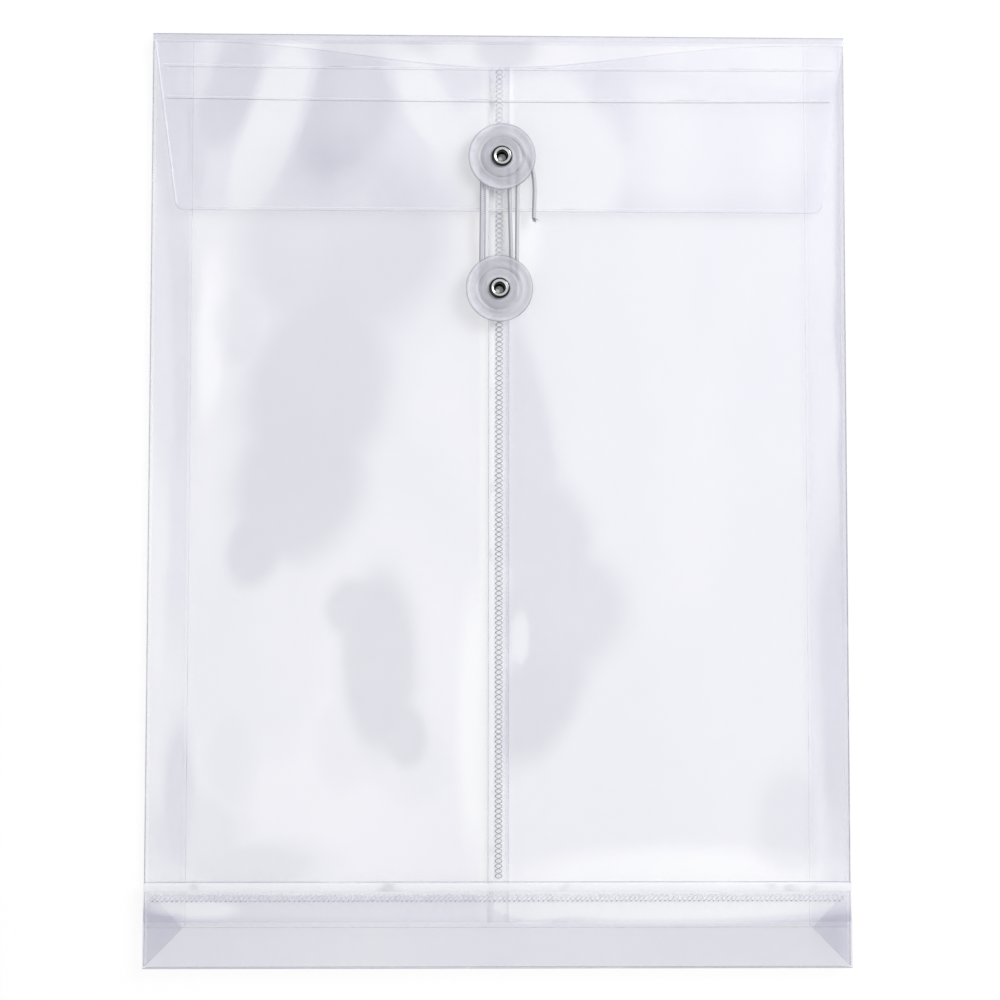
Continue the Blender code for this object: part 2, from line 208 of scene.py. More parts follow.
WARP = 0.008
OVAL_RIM = 0.02
PATCH_FULL = 0.45
BAND_FULL = 0.5
# Slant of the film's streaks of painted highlight
STREAK_TURN = math.radians(-32)


def greys(tones):
    """Ramp stops in grey, from (place, tone) pairs."""
    return tuple((place, (tone, tone, tone)) for place, tone in tones)


def scaled(colour, share, most=1.0):
    """A colour made lighter or darker, with no part above most."""
    return tuple(min(part * share, most) for part in colour)


class Finish:
    """A material and the few calls that build its nodes."""

    def __init__(self, name):
        self.material = bpy.data.materials.new(name)
        self.material.use_nodes = True
        self.tree = self.material.node_tree
        self.shader = self.tree.nodes["Principled BSDF"]
        self.place = self.tree.nodes.new("ShaderNodeTexCoord")

    def set(self, **values):
        """Put plain values on the shader's sockets, with spaces written as underscores."""
        for name, value in values.items():
            self.shader.inputs[name.replace("_", " ")].default_value = value

    def link(self, source, target):
        self.tree.links.new(source, target)

    def mapping(self, kind="POINT", source="Object", place=(0, 0, 0), turn=(0, 0, 0), scale=(1, 1, 1)):
        node = self.tree.nodes.new("ShaderNodeMapping")
        node.vector_type = kind
        node.inputs["Location"].default_value = place
        node.inputs["Rotation"].default_value = turn
        node.inputs["Scale"].default_value = scale
        start = self.place.outputs[source] if isinstance(source, str) else source
        self.link(start, node.inputs["Vector"])
        return node.outputs["Vector"]

    def noise(self, scale, vector=None, detail=2.0, roughness=0.5, distortion=0.0, output="Fac"):
        node = self.tree.nodes.new("ShaderNodeTexNoise")
        node.inputs["Scale"].default_value = scale
        node.inputs["Detail"].default_value = detail
        node.inputs["Roughness"].default_value = roughness
        node.inputs["Distortion"].default_value = distortion
        self.link(vector or self.place.outputs["Object"], node.inputs["Vector"])
        return node.outputs[output]

    def maths(self, operation, *values, kind="ShaderNodeMath"):
        node = self.tree.nodes.new(kind)
        node.operation = operation
        for socket, value in zip(node.inputs, values):
            if isinstance(value, (int, float, tuple)):
                socket.default_value = value
            else:
                self.link(value, socket)
        return node.outputs["Value" if operation == "LENGTH" else 0]

    def vector_maths(self, operation, *values):
        return self.maths(operation, *values, kind="ShaderNodeVectorMath")

    def split(self, vector):
        node = self.tree.nodes.new("ShaderNodeSeparateXYZ")
        self.link(vector, node.inputs[0])
        return node.outputs

    def ramp(self, value, stops):
        node = self.tree.nodes.new("ShaderNodeValToRGB")
        ramp = node.color_ramp
        ramp.interpolation = "EASE"
        while len(ramp.elements) < len(stops):
            ramp.elements.new(0.5)
        for element, (place, colour) in zip(ramp.elements, stops):
            element.position = place
            element.color = (*colour, 1.0)
        self.link(value, node.inputs["Fac"])
        return node.outputs["Color"]

    def range(self, value, low, high, to_low, to_high):
        node = self.tree.nodes.new("ShaderNodeMapRange")
        for name, number in zip(("From Min", "From Max", "To Min", "To Max"), (low, high, to_low, to_high)):
            node.inputs[name].default_value = number
        self.link(value, node.inputs["Value"])
        return node.outputs["Result"]

    def bump(self, height, strength, distance, under=None):
        node = self.tree.nodes.new("ShaderNodeBump")
        node.inputs["Strength"].default_value = strength
        node.inputs["Distance"].default_value = distance
        self.link(height, node.inputs["Height"])
        if under:
            self.link(under, node.inputs["Normal"])
        return node.outputs["Normal"]

    def colour(self, socket):
        self.link(socket, self.shader.inputs["Base Color"])

    def done(self, normal=None, roughness=None):
        if normal:
            self.link(normal, self.shader.inputs["Normal"])
        if roughness:
            self.link(roughness, self.shader.inputs["Roughness"])
        return self.material


def soft_oval(film, vector, middle, half, turn, full, depth):
    """A soft oval that rises from 0 at its rim to depth where it is full."""
    spot = film.mapping("TEXTURE", vector, (*middle, 0), (0, 0, math.radians(turn)), (*half, 1.0))
    ball = film.tree.nodes.new("ShaderNodeTexGradient")
    ball.gradient_type = "SPHERICAL"
    film.link(spot, ball.inputs["Vector"])
    return film.range(ball.outputs["Fac"], OVAL_RIM, full, 0.0, depth)


def film_finish(name, *, cloud, base, opacity, seed, patches=(), bands=(), streaks=0.0):
    """Clear film with a soft haze and painted reflections.

    base is the film's plain tone, from 0 for a painted highlight to 1 for painted shade. patches are soft
    ovals of painted shade: (x, y, half width, half length, turn in degrees, depth), painted highlight
    where depth is below 0. Of patches that overlap only the strongest shows. bands are ovals too, with
    even sides, and they add up. streaks is how strong the slanting streaks of painted highlight and
    shade are, cloud how strong the drifting haze is.
    """
    look = envelope()
    film = Finish(name)
    even = film.place.outputs["Object"]
    warp = film.noise(14.0, film.mapping(place=(seed, seed, 0)), distortion=0.4, output="Color")
    shifted = film.vector_maths("MULTIPLY_ADD", warp, (WARP, WARP, 0.0), even)
    drift = film.noise(9.0, film.mapping(place=(seed, 2 * seed, 0), scale=(1, 0.7, 1)), distortion=0.8)
    tone = film.range(drift, 0.35, 0.65, base - cloud / 2, base + cloud / 2)
    strongest = {}
    for x, y, wide, long, turn, depth in patches:
        place = (x + WARP / 2, y + WARP / 2)
        oval = soft_oval(film, shifted, place, (wide, long), turn, PATCH_FULL, depth)
        pick = "MAXIMUM" if depth > 0 else "MINIMUM"
        strongest[pick] = film.maths(pick, strongest[pick], oval) if pick in strongest else oval
    for x, y, wide, long, turn, depth in bands:
        oval = soft_oval(film, even, (x, y), (wide, long), turn, BAND_FULL, depth)
        tone = film.maths("ADD", tone, oval)
    for oval in strongest.values():
        tone = film.maths("ADD", tone, oval)
    # Slanting streaks of painted highlight, with painted shade between them
    if streaks:
        slant = film.mapping(turn=(0, 0, STREAK_TURN), scale=(1.0, 0.16, 1.0))
        run = film.noise(34.0, slant, detail=1.0, distortion=0.5)
        tone = film.maths("ADD", tone, film.range(run, 0.35, 0.65, -streaks, streaks))
    # The tone runs from the painted highlight colour through the film's own colour to the painted shade
    # colour
    film.colour(film.ramp(tone, ((0.0, look.film_light), (0.45, look.film_body), (1.0, look.film_shade))))
    film.set(Alpha=look.film_opacity * opacity, IOR=1.49, Specular_IOR_Level=0.7)
    swell = film.noise(9.0, detail=1.0)
    normal = film.bump(swell, 0.5, 0.004)
    scuff = film.noise(50.0, film.mapping(scale=(1, 0.3, 1)), detail=3.0)
    rough = film.range(scuff, 0.3, 0.7, 0.16, 0.28)
    return film.done(normal, rough)


def edge_finish(name, opacity, bright=False):
    """Film seen along a crease or a cut edge, where it is thicker, flecked with painted highlight. bright
    makes it a painted highlight.
    """
    look = envelope()
    edge = Finish(name)
    edge_glint_noise = edge.noise(60.0, detail=3.0)
    low, high = (0.20, 0.45) if bright else (0.50, 0.90)
    edge.colour(edge.ramp(edge_glint_noise, ((low, look.film_edge), (high, look.film_light))))
    edge.set(Alpha=opacity, IOR=1.49, Specular_IOR_Level=0.8)
    grain = edge.noise(1200.0)
    return edge.done(
        edge.bump(grain, 0.2, 0.00005),
        edge.range(edge_glint_noise, 0.3, 0.7, 0.12, 0.30),
    )


# Making pieces


SHARP_ANGLE = math.radians(40)
TURN_STEPS = 96


def middle(node):
    """The middle of a node's box."""
    low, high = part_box(node)
    return (low + high) / 2


def linked(name, data):
    """A new object in the scene."""
    made = bpy.data.objects.new(name, data)
    bpy.context.scene.collection.objects.link(made)
    return made


def mesh_from(bm):
    """A mesh from a bmesh, which is freed."""
    mesh = bpy.data.meshes.new("made")
    bm.to_mesh(mesh)
    bm.free()
    return mesh


def new_piece(name, mesh, body, finish, nodes=()):
    """Make an object of a mesh, standing for its nodes.

    body is a body's name, which the piece is attached to. A bend, given as two bodies and two points, is
    not used, and the piece is left unattached.
    """
    mesh.name = name
    mesh.materials.clear()
    mesh.materials.append(finish)
    mesh.shade_smooth()
    mesh.set_sharp_from_angle(angle=SHARP_ANGLE)
    piece = linked(name, mesh)
    if isinstance(body, str):
        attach(piece, body)
    else:
        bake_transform(piece)
    if nodes:
        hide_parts(*nodes)
    return piece


def dress(node, finish):
    """Give a node a finish."""
    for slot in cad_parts[node].material_slots:
        slot.material = finish


def turned(profile, centre, closed=True):
    """A mesh turned about a vertical axis from (radius, height) points."""
    bm = bmesh.new()
    x, y = centre[0], centre[1]
    loop = [bm.verts.new((x + radius, y, height)) for radius, height in profile]
    ends = loop[1:] + loop[:1] if closed else loop[1:]
    edges = [bm.edges.new(pair) for pair in zip(loop, ends)]
    turn = {"cent": (x, y, 0), "axis": (0, 0, 1), "angle": 2 * math.pi, "steps": TURN_STEPS}
    bmesh.ops.spin(bm, geom=loop + edges, use_merge=True, **turn)
    bmesh.ops.remove_doubles(bm, verts=bm.verts, dist=1e-7)
    bmesh.ops.recalc_face_normals(bm, faces=bm.faces)
    return mesh_from(bm)


def evenly(points, step):
    """The line through points again, with points a step apart."""
    runs = [0.0]
    for a, b in zip(points, points[1:]):
        runs.append(runs[-1] + (b - a).length)
    count = round(runs[-1] / step)
    line, n = [], 0
    for i in range(count + 1):
        at = runs[-1] * i / count
        while n < len(points) - 2 and runs[n + 1] < at:
            n += 1
        line.append(points[n].lerp(points[n + 1], (at - runs[n]) / (runs[n + 1] - runs[n])))
    return line, runs[-1]


def tube_mesh(name, lines, radius, sides=2):
    """One mesh of round tubes along lines of points."""
    curve = bpy.data.curves.new(name, "CURVE")
    curve.dimensions = "3D"
    curve.bevel_depth = radius
    curve.bevel_resolution = sides
    curve.use_fill_caps = True
    for line in lines:
        spline = curve.splines.new("POLY")
        spline.points.add(len(line) - 1)
        for knot, point in zip(spline.points, line):
            knot.co = (*point, 1.0)
    maker = linked(name + "_line", curve)
    bpy.context.view_layer.update()
    mesh = bpy.data.meshes.new_from_object(maker.evaluated_get(bpy.context.evaluated_depsgraph_get()))
    bpy.data.objects.remove(maker)
    bpy.data.curves.remove(curve)
    return mesh


# Film


# Soft patches of painted shade and painted highlight: (x, y, half width, half length, turn in degrees,
# depth), painted highlight where depth is below 0
LEFT_PAINTED_SHADING = (
    (-0.0565, 0.09, 0.052, 0.052, -10, 0.48),
    (-0.064, 0.04, 0.036, 0.052, -14, 0.54),
    (-0.071, 0.004, 0.0314, 0.0392, -10, 0.6),
    (-0.085, -0.017, 0.014, 0.0235, -20, 0.6),
    (-0.0415, -0.06, 0.0186, 0.0458, 0, 0.6),
    (-0.049, -0.041, 0.0157, 0.0157, 0, 0.55),
    (-0.0335, -0.084, 0.012, 0.018, 10, 0.55),
    (-0.094, -0.093, 0.012, 0.024, 0, 0.32),
    (-0.093, -0.06, 0.02, 0.044, 0, 0.2),
    (-0.116, 0.062, 0.012, 0.08, 0, 0.34),
    (-0.118, 0.138, 0.01, 0.045, 0, 0.32),
    (-0.078, -0.05, 0.022, 0.05, 0, 0.18),
    (-0.111, -0.105, 0.008, 0.035, 0, 0.5),
    (-0.092, 0.062, 0.012, 0.022, 0, 0.35),
    (-0.055, -0.088, 0.012, 0.02, 0, 0.25),
    (-0.03, -0.095, 0.016, 0.016, 0, 0.2),
    (-0.1205, 0.02, 0.006, 0.09, 0, -0.3),
    (-0.106, -0.118, 0.023, 0.02, 0, 0.4),
    (-0.086, -0.129, 0.034, 0.011, 0, 0.42),
    (-0.102, 0.06, 0.007, 0.04, -4, -0.3),
)
RIGHT_PAINTED_SHADING = (
    (0.006, 0.03, 0.0157, 0.0588, 14, 0.4),
    (0.015, -0.015, 0.0235, 0.039, 20, 0.42),
    (0.023, -0.041, 0.033, 0.029, 0, 0.44),
    (0.015, -0.07, 0.019, 0.0385, -35, 0.44),
    (0.119, -0.07, 0.01, 0.09, 0, 0.38),
    (0.116, 0.07, 0.008, 0.12, 0, -0.16),
    (0.101, -0.113, 0.015, 0.026, 0, 0.3),
    (0.1232, 0.02, 0.0042, 0.26, 0, 0.62),
    (0.0082, -0.0505, 0.004, 0.012, 0, -0.4),
)
# Painted shade on the flap, and painted highlights, one lightening the shade round the buttons and the
# string
FLAP_PAINTED_SHADING = (
    (-0.0964, 0.1445, 0.015, 0.033, -22, 0.5),
    (-0.056, 0.137, 0.023, 0.037, -21, 0.52),
    (-0.05, 0.16, 0.032, 0.014, 0, 0.65),
    (0.0025, 0.159, 0.015, 0.01, 0, 0.5),
    (-0.108, 0.135, 0.006, 0.045, 0, 0.35),
    (-0.09, 0.156, 0.03, 0.01, 0, 0.22),
    (0.04, 0.138, 0.012, 0.02, 24, 0.2),
    (-0.08, 0.134, 0.012, 0.043, -22, -0.75),
    (-0.107, 0.156, 0.008, 0.02, -16, -0.25),
    (0.014, 0.121, 0.042, 0.033, 0, -0.7),
    (0.09, 0.155, 0.045, 0.013, 0, -0.35),
    (-0.027, 0.14, 0.01, 0.033, 32, -0.55),
    (0.07, 0.128, 0.05, 0.033, 0, -0.3),
)
# Painted highlights on both front halves: along the seam's lap, low on the right, beside the seam, and
# below the flap where one lightens the string's shadow
SEAM_PAINTED_HIGHLIGHTS = (
    (-0.0022, -0.01, 0.005, 0.9, 0, -0.9),
    (0.062, -0.137, 0.075, 0.017, 0, -0.5),
    (-0.008, -0.08, 0.008, 0.06, 0, -0.3),
    (0.0, 0.095, 0.018, 0.038, 0, -0.5),
)
# Painted shading on the bottom strip: painted highlights along its top and at its left end, painted shade
# towards its corners and its lower edge
STRIP_PAINTED_SHADING = (
    (0.0, -0.14, 0.9, 0.011, 0, -0.42),
    (0.062, -0.14, 0.075, 0.011, 0, -1.0),
    (0.012, -0.139, 0.017, 0.0115, 0, -1.0),
    (-0.05, -0.1368, 0.14, 0.0036, 0, -1.0),
    (0.09, -0.1368, 0.06, 0.0036, 0, -1.0),
    (-0.104, -0.1446, 0.018, 0.0042, 0, -0.6),
    (-0.1215, -0.1372, 0.0026, 0.0042, 25, -0.9),
    (-0.117, -0.139, 0.01, 0.0085, 0, -1.0),
    (-0.12, -0.152, 0.012, 0.02, 0, 0.45),
    (0.12, -0.156, 0.012, 0.013, 0, 0.4),
    (-0.11, -0.156, 0.02, 0.013, 0, 0.15),
    (-0.001, -0.163, 0.007, 0.0018, 8, 0.6),
)
# Painted shade in the folded corners
TUCK_PAINTED_SHADE = tuple((x, -0.1545, 0.006, 0.005, 0, 0.8) for x in (-0.117, 0.117))
# Painted shade along the top fold, and a painted highlight on its right
FOLD_PAINTED_SHADING = (
    (0.0, 0.1648, 0.9, 0.0007, 0, 0.5),
    (0.07, 0.1635, 0.09, 0.03, 0, -0.35),
)
GUSSET_STEPS = 8
BEND_STEPS = 8
FOLD_SLACK = 0.0004
HALF_FILM = 0.00015


def gusset_bend(word, back):
    """The bodies and points that a gusset half would bend between as the front lifts: its fold would go
    half as far as the front does.
    """
    inner_low, inner_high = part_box(f"gusset_{word}_front")
    if word == "right":
        outer, fold = SIDE, inner_low.x + FOLD_SLACK
    else:
        outer, fold = CAD_BOX[0][0], inner_high.x - FOLD_SLACK
    far = 2 * fold - outer
    start, end = (outer, far) if back else (far, outer)
    return ("back", "front", (start, 0, 0), (end, 0, 0))


def crease_bend(lower):
    """The bodies and points that a half of the flap's fold would stretch between as the front lifts."""
    low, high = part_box("flap_crease")
    reach = 2 * (high.y - low.y)
    foot, top = (low.y, low.y + reach) if lower else (low.y + reach, low.y)
    return ("back", "front", (0, foot, low.z + HALF_FILM), (0, top, high.z - HALF_FILM))


def bending_gusset(node):
    """A gusset half as it is folded, with cuts along its width."""
    bm = bmesh.new()
    bm.from_mesh(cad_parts[node].data)
    bmesh.ops.remove_doubles(bm, verts=bm.verts, dist=1e-6)
    low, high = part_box(node)
    for n in range(1, GUSSET_STEPS):
        cut = low.x + (high.x - low.x) * n / GUSSET_STEPS
        whole = bm.verts[:] + bm.edges[:] + bm.faces[:]
        bmesh.ops.bisect_plane(bm, geom=whole, plane_co=(cut, 0, 0), plane_no=(1, 0, 0))
    return mesh_from(bm)


def film_bar(profile):
    """Film of one (y, z) profile, all the way across the envelope."""
    bm = bmesh.new()
    start = [bm.verts.new((CAD_BOX[0][0], y, z)) for y, z in profile]
    face = bm.faces.new(start)
    grown = bmesh.ops.extrude_face_region(bm, geom=[face])["geom"]
    moved = [part for part in grown if isinstance(part, bmesh.types.BMVert)]
    bmesh.ops.translate(bm, verts=moved, vec=(SIDE - CAD_BOX[0][0], 0, 0))
    bmesh.ops.recalc_face_normals(bm, faces=bm.faces)
    return mesh_from(bm)


def fold_profile(lower):
    """Half of the rolled fold between the back and the flap, with a lip that meets them."""
    low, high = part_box("flap_crease")
    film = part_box("back_panel")[1].z
    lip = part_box("back_panel")[1].y
    middle_z = (low.z + high.z) / 2
    outer = high.y - low.y
    way = -1 if lower else 1
    rim = []
    for radius in (outer, outer - film):
        arc = []
        for n in range(BEND_STEPS + 1):
            angle = math.pi / 2 * n / BEND_STEPS
            arc.append((low.y + radius * math.sin(angle), middle_z + way * radius * math.cos(angle)))
        rim.append(arc)
    foot = (lip, middle_z + way * outer), (lip, middle_z + way * (outer - film))
    if not lower:
        return rim[0] + rim[1][::-1]
    return [foot[0]] + rim[0] + rim[1][::-1] + [foot[1]]


class ENVELOPE_OT_film(bpy.types.Operator):
    """Finish the folded film: back, gussets, front, bottom and flap"""

    bl_idname = "envelope.film"
    bl_label = "Film"

    def execute(self, context):
        # A film's base tone runs from painted highlight at 0 to painted shade at 1; its patches and bands
        # are painted shade and painted highlights
        clear = film_finish("film_sheet", cloud=0.25, base=0.35, opacity=0.65, seed=3.1)
        gusset = film_finish("film_gusset", cloud=0.60, base=0.30, opacity=0.35, seed=5.7)
        roll = film_finish("film_fold", bands=FOLD_PAINTED_SHADING, cloud=0.20, base=0.66, opacity=1.3, seed=3.4)
        front = {"bands": SEAM_PAINTED_HIGHLIGHTS, "cloud": 0.14, "opacity": 1.15, "seed": 1.3}
        faces = {
            "left": film_finish("film_front_left", patches=LEFT_PAINTED_SHADING, base=0.33, **front),
            "right": film_finish("film_front_right", patches=RIGHT_PAINTED_SHADING, base=0.43, **front),
        }
        # The flap's painted shading, with slanting streaks of painted highlight
        flap_shading = {"patches": FLAP_PAINTED_SHADING, "streaks": 0.12}
        flap = film_finish("film_flap", cloud=0.10, base=0.37, opacity=1.0, seed=8.2, **flap_shading)
        base = film_finish("film_bottom", bands=STRIP_PAINTED_SHADING, cloud=0.16, base=0.90, opacity=1.2, seed=2.4)
        hem = film_finish("film_hem", cloud=0.30, base=0.10, opacity=0.3, seed=4.4)
        tuck = film_finish("film_tuck", bands=TUCK_PAINTED_SHADE, cloud=0.20, base=0.93, opacity=0.80, seed=6.6)
        dress("back_panel", clear)
        for side in ("left", "right"):
            for half in ("back", "front"):
                node = f"gusset_{side}_{half}"
                bend = gusset_bend(side, half == "back")
                new_piece(node + "_film", bending_gusset(node), bend, gusset, [node])
            dress(f"front_panel_{side}", faces[side])
            dress(f"corner_tuck_{side}", tuck)
        for word, lower in (("lower", True), ("upper", False)):
            bend, half = crease_bend(lower), film_bar(fold_profile(lower))
            new_piece(f"flap_fold_{word}", half, bend, roll, ["flap_crease"])
        low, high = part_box("flap")
        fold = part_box("flap_crease")[0].y
        rows = [high.y + (fold - high.y) * n / BEND_STEPS for n in range(BEND_STEPS + 1)]
        hinge = [(y, low.z) for y in rows] + [(y, high.z) for y in rows[::-1]]
        bend = ("front", "flap", (0, fold, high.z), (0, high.y, high.z))
        new_piece("flap_hinge_film", film_bar(hinge), bend, roll, ["flap_crease"])
        dress("front_hem", hem)
        dress("bottom_panel", base)
        dress("flap", flap)
        return {"FINISHED"}


# Creases and cut edges


CREASE_INSET = 0.4
CREASE_LIFT = 0.00045
CORNER_REACH = 0.012
GLINT_THINNESS = 0.12
FLAT_SHARE = 2
MOUTH_DIP = 0.0115
MOUTH_CURVE = 3
MOUTH_INSET = 0.0008
MOUTH_POINTS = 40
TIP_REACH = 0.108
TIP_INSET = 0.0010
BACK_FOLD_START = 0.0004
CORNER_GAP = 0.0003
CORNER_LIFT = 0.0005
GUSSET_LINE_STEP = 0.02
SIDE_GLINT_START = 0.0015
SIDE_GLINT_END = 0.004
SIDE_GLINT_INSET = 0.0006
SCORE_LIT_SHIFT = 0.0005
SCORE_DARK_SHIFT = -0.0003
# Score lines on the flap, each a painted highlight just above a painted shade: (name, distance below the
# top, half length, tone of its dark side)
SCORES = (
    ("upper", 0.0128, 0.1195, "faint"),
    ("lower", 0.0243, 0.1180, "dark"),
)
SCORE_SAG = 0.0006


def mouth_height(x):
    """How far up the front's mouth is at x."""
    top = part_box("back_panel")[1].y
    wave = max(math.cos(math.pi * x / (2 * SIDE)), 0.0)
    return top - (MOUTH_DIP - (END - top)) * wave**MOUTH_CURVE


def flap_outline():
    """The flap's rim at its top face, once round from one end of its fold to the other."""
    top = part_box("flap")[1].z
    rim = [v.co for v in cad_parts["flap"].data.vertices if v.co.z > top - 1e-5]
    order = convex_hull_2d([(p.x, p.y) for p in rim])
    loop = [Vector((rim[n].x, rim[n].y, top)) for n in order]
    fold = max(p.y for p in loop) - 1e-5
    start = next(n for n, p in enumerate(loop) if p.y > fold and loop[(n + 1) % len(loop)].y < fold)
    return loop[start:] + loop[:start]


def side_creases(inset):
    """The folds down both sides: front, back and gusset."""
    lines = []
    for word, way in (("left", -1), ("right", 1)):
        front_low, front_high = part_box(f"front_panel_{word}")
        edge = way * (SIDE - inset)
        height = front_low.z + CREASE_LIFT
        fold = [(edge, front_low.y, height), (edge, front_high.y, height)]
        lines.append((f"front_fold_{word}", "front", 1.0, "dark", fold))
        back_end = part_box(f"gusset_{word}_back")[1].y
        fold = [(edge, -END + BACK_FOLD_START, CREASE_LIFT), (edge, back_end, CREASE_LIFT)]
        lines.append((f"back_fold_{word}", "back", 1.0, "dark", fold))
        inner_low, inner_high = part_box(f"gusset_{word}_front")
        inner = inner_high.x - inset if way < 0 else inner_low.x + inset
        height = inner_low.z + CREASE_LIFT
        start = -END + SIDE - abs(inner) + CORNER_GAP
        fold = [(inner, start, height), (inner, inner_high.y, height)]
        fold = evenly([Vector(p) for p in fold], GUSSET_LINE_STEP)[0]
        # The gusset's inner fold is drawn as a painted highlight
        lines.append((f"gusset_fold_{word}", gusset_bend(word, True), 0.9, "lit", fold))
        corner = [(edge, -END + CORNER_LIFT, CORNER_LIFT), (inner, start, CORNER_LIFT)]
        lines.append((f"corner_fold_{word}", "back", 0.7, "faint", corner))
    return lines


def mouth_edges():
    """The front's mouth, and the lap up its middle seam."""
    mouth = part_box("front_panel_left")[1].z
    reach = SIDE - MOUTH_INSET
    across = [reach * (2 * n / MOUTH_POINTS - 1) for n in range(MOUTH_POINTS + 1)]
    rim = [(x, mouth_height(x), mouth) for x in across]
    lines = [("mouth_edge", "front", 0.8, "faint", rim)]
    lap_low, lap_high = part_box("front_panel_right")
    # The glint and the under edge of the lap are painted highlights
    for word, x, height, share, tone in (
        ("free", lap_low.x - 0.0002, lap_high.z, 0.55, "dark"),
        ("glint", lap_low.x + 0.0010, lap_high.z, 5.5, "lit"),
        ("under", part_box("front_panel_left")[1].x, mouth + 0.00005, 0.8, "lit"),
    ):
        run = [(x, lap_low.y, height), (x, mouth_height(x) - 0.0002, height)]
        lines.append((f"lap_edge_{word}", "front", share, tone, run))
    return lines


def flap_edges():
    """The flap's rim, the painted glints beside it and the two score lines, each a painted highlight above
    a painted shade.
    """
    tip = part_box("flap")[0].y
    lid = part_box("flap")[1].z
    rim = [p for p in flap_outline() if p.x < 0 or p.y < tip + CORNER_REACH]
    lines = [("flap_edge", "flap", 0.9, "faint", rim)]
    left = sorted((p for p in rim if p.x < 0), key=lambda p: p.y)
    side_line = [p for p in left if tip + SIDE_GLINT_START < p.y < END - SIDE_GLINT_END]
    run = [(p.x + SIDE_GLINT_INSET, p.y, lid) for p in (*side_line, left[-1])]
    lines.append(("flap_side_glint", "flap", 1.6, "soft", run))
    run = [(-TIP_REACH, tip + TIP_INSET, lid), (TIP_REACH, tip + TIP_INSET, lid)]
    lines.append(("flap_glint", "flap", 0.9, "lit", run))
    for word, drop, half, deep in SCORES:
        for tone, shift in (("lit", SCORE_LIT_SHIFT), (deep, SCORE_DARK_SHIFT)):
            y = END - drop + shift
            run = [(half * t, y + SCORE_SAG * t * t, lid) for t in (-1, -0.5, 0, 0.5, 1)]
            lines.append((f"flap_score_{word}_{tone}", "flap", 0.9, tone, run))
    return lines


def end_edges(inset):
    """The fold at the top, the strip and the hem at the bottom, and the back's cut end."""
    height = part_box("flap_crease")[1].z / 2
    top = [(-SIDE + inset, END - inset, height), (SIDE - inset, END - inset, height)]
    lines = [("top_fold", crease_bend(True), 1.0, "dark", top)]
    strip_low, strip_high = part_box("bottom_panel")
    hem_low, hem_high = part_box("front_hem")
    lid = strip_high.z
    for name, body, share, tone, shortening, y, z in (
        ("bottom_fold", "bottom", 1.0, "dark", 0.0, strip_high.y - inset, lid - 0.0003),
        ("bottom_glint", "bottom", 8.5, "lit", 0.0, strip_high.y - 0.0020, lid),
        ("bottom_cut", "bottom", 1.0, "dark", 0.0, strip_low.y + inset, lid - inset),
        ("hem_fold", "hem", 0.6, "faint", 0.0, hem_low.y + inset, (hem_low.z + hem_high.z) / 2),
        ("back_cut", "back", 0.9, "dark", 0.0005, -END + inset, 0.0002),
    ):
        reach = SIDE - inset - shortening
        lines.append((name, body, share, tone, [(-reach, y, z), (reach, y, z)]))
    return lines


def crease_lines():
    """Every crease and cut edge: (name, body, width, tone, points)."""
    inset = envelope().crease_width * CREASE_INSET
    return side_creases(inset) + mouth_edges() + flap_edges() + end_edges(inset)


class ENVELOPE_OT_creases(bpy.types.Operator):
    """Draw the creases and cut edges of the film"""

    bl_idname = "envelope.creases"
    bl_label = "Creases"

    def execute(self, context):
        # Lit and soft lines are painted highlights, and the dark side of a score line is painted shade
        finishes = {
            "dark": edge_finish("film_crease", 0.40),
            "faint": edge_finish("film_faint_crease", 0.20),
            "lit": edge_finish("film_lit_edge", 0.45, True),
            "soft": edge_finish("film_soft_edge", 0.22, True),
        }
        for name, body, share, tone, points in crease_lines():
            radius = envelope().crease_width * share / 2
            mesh = tube_mesh(name, [points], radius)
            if share > FLAT_SHARE:
                level = points[0][2]
                for vertex in mesh.vertices:
                    vertex.co.z = level + (vertex.co.z - level) * GLINT_THINNESS
            new_piece(name, mesh, body, finishes[tone])
        return {"FINISHED"}


# Stitching


RING_POINTS = 4
CROSS_LIFT = 0.00003
HOLE_DIP = 0.00012
HOLE_START = Vector((-0.00005, -0.00016, 0))
HOLE_END = Vector((0.00025, 0.00010, 0.00002))
HOLE_LIFT = 0.00012


def linked_stitches(start, step, count, reach, height, slant):
    """Two threads along Y that swing from side to side and cross, so they look like linked rings."""
    lines = []
    for way in (1, -1):
        line = []
        for n in range(count * RING_POINTS + 1):
            turn = math.pi * n / RING_POINTS
            across = way * math.sin(turn)
            y = start + step * (n / RING_POINTS + slant * across)
            rise = CROSS_LIFT * way * math.cos(turn) - HOLE_DIP * across * across
            line.append(Vector((across * reach / 2, y, height + rise)))
        lines.append(line)
    return lines


def needle_holes(start, step, count, reach, height, slant):
    """Short dark dashes where the needle went through, down the left side of the stitches."""
    holes = []
    for n in range(count):
        spot = Vector((-reach / 2, start + step * (n + 0.5 - slant), height))
        holes.append([spot + HOLE_START, spot + HOLE_END])
    return holes


def thread_finish(name, share):
    """Spun thread. share makes its colour paler above 1."""
    thread = Finish(name)
    tone = thread.noise(700.0, detail=2.0)
    colour = scaled(envelope().thread_colour, share)
    pale = scaled(colour, 1.30, 0.9)
    thread.colour(thread.ramp(tone, ((0.3, colour), (0.7, pale))))
    thread.set(Sheen_Weight=0.2)
    fibre = thread.noise(5200.0, detail=3.0)
    return thread.done(
        thread.bump(fibre, 0.5, 0.00006),
        thread.range(fibre, 0.2, 0.8, 0.45, 0.75),
    )


